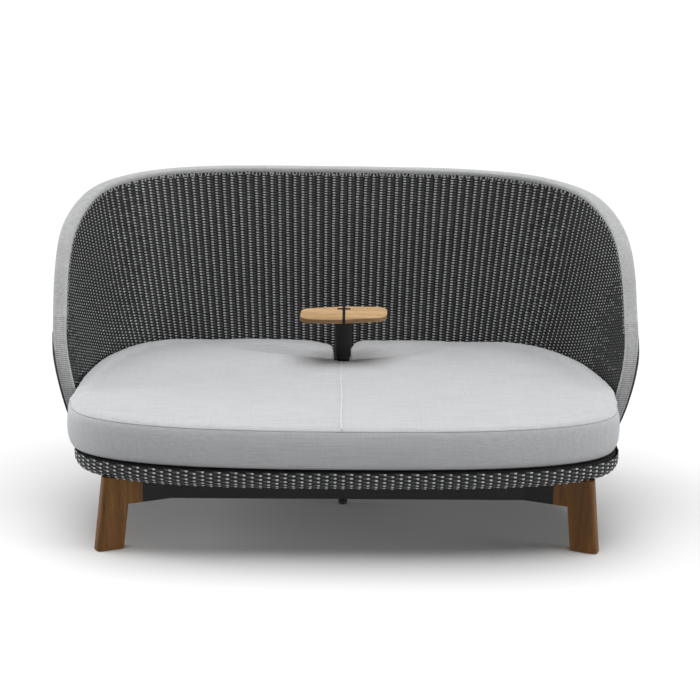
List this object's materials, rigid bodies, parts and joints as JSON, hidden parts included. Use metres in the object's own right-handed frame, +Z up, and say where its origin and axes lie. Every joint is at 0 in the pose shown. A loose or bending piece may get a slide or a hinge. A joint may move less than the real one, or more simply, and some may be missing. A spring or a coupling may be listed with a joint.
{
  "type": "outdoor daybed",
  "caption": "Woven wing-back outdoor daybed with a wrapped rim, a deep seat cushion, splayed wooden legs on a black metal base and a small wooden table that swivels on a post.",
  "frame": {"origin": "on the floor, under the middle of the daybed's bounding box", "axes": "+X to the sitter's left, which is the right of the picture; +Y from the open front towards the back wall; +Z up"},
  "size_m": [1.931, 1.1626, 1.0311],
  "materials": {
    "teak_dark": "satin",
    "teak_light": "satin",
    "black_metal": "satin",
    "frame_tube": "satin",
    "weave_dark": "matte",
    "rim_cord": "matte",
    "deck_webbing": "matte",
    "cushion_cloth": "matte",
    "screw_steel": "satin",
    "black_plastic": "matte"
  },
  "bodies": {
    "daybed": {"arm_front_left": "black_metal", "arm_front_right": "black_metal", "arm_rear_left": "black_metal", "arm_rear_right": "black_metal", "back_ribs": "frame_tube", "bearer_bolts": "screw_steel", "bearer_centre": "frame_tube", "bearer_left": "frame_tube", "bearer_right": "frame_tube", "centre_glide": "black_plastic", "centre_prop": "black_metal", "cross_rail_centre": "black_metal", "cross_rail_left": "black_metal", "cross_rail_right": "black_metal", "flange_screws": "screw_steel", "front_rail": "black_metal", "inner_weave": "weave_dark", "keeper_screw": "screw_steel", "keeper_washer": "screw_steel", "leg_bolts": "screw_steel", "leg_front_left": "teak_dark", "leg_front_right": "teak_dark", "leg_glides": "black_plastic", "leg_rear_left": "teak_dark", "leg_rear_right": "teak_dark", "leg_tenons": "black_metal", "outer_weave": "weave_dark", "post_flange": "black_metal", "rear_rail": "black_metal", "rim_tube": "frame_tube", "rim_wrap": "rim_cord", "seat_deck": "deck_webbing", "seat_ring": "frame_tube", "seat_weave": "weave_dark", "table_post": "black_metal", "thrust_washer": "black_plastic"},
    "table": {"bush_lower": "black_plastic", "bush_upper": "black_plastic", "swivel_sleeve": "black_metal", "table_crossbar": "black_metal", "table_fin": "black_metal", "table_plate": "black_metal", "table_screws": "screw_steel", "table_top_left": "teak_light", "table_top_right": "teak_light"},
    "cushion": {"seat_cushion": "cushion_cloth"}
  },
  "joints": [
    {"name": "table_swivel", "type": "hinge", "parent": "daybed", "child": "table", "pos_m": [0, 0.1705, 0.5], "axis": [0, 0, 1], "continuous": true},
    {"name": "cushion_pull", "type": "slide", "parent": "daybed", "child": "cushion", "axis": [0, -1, 0], "range_m": [0, 1.05]}
  ]
}
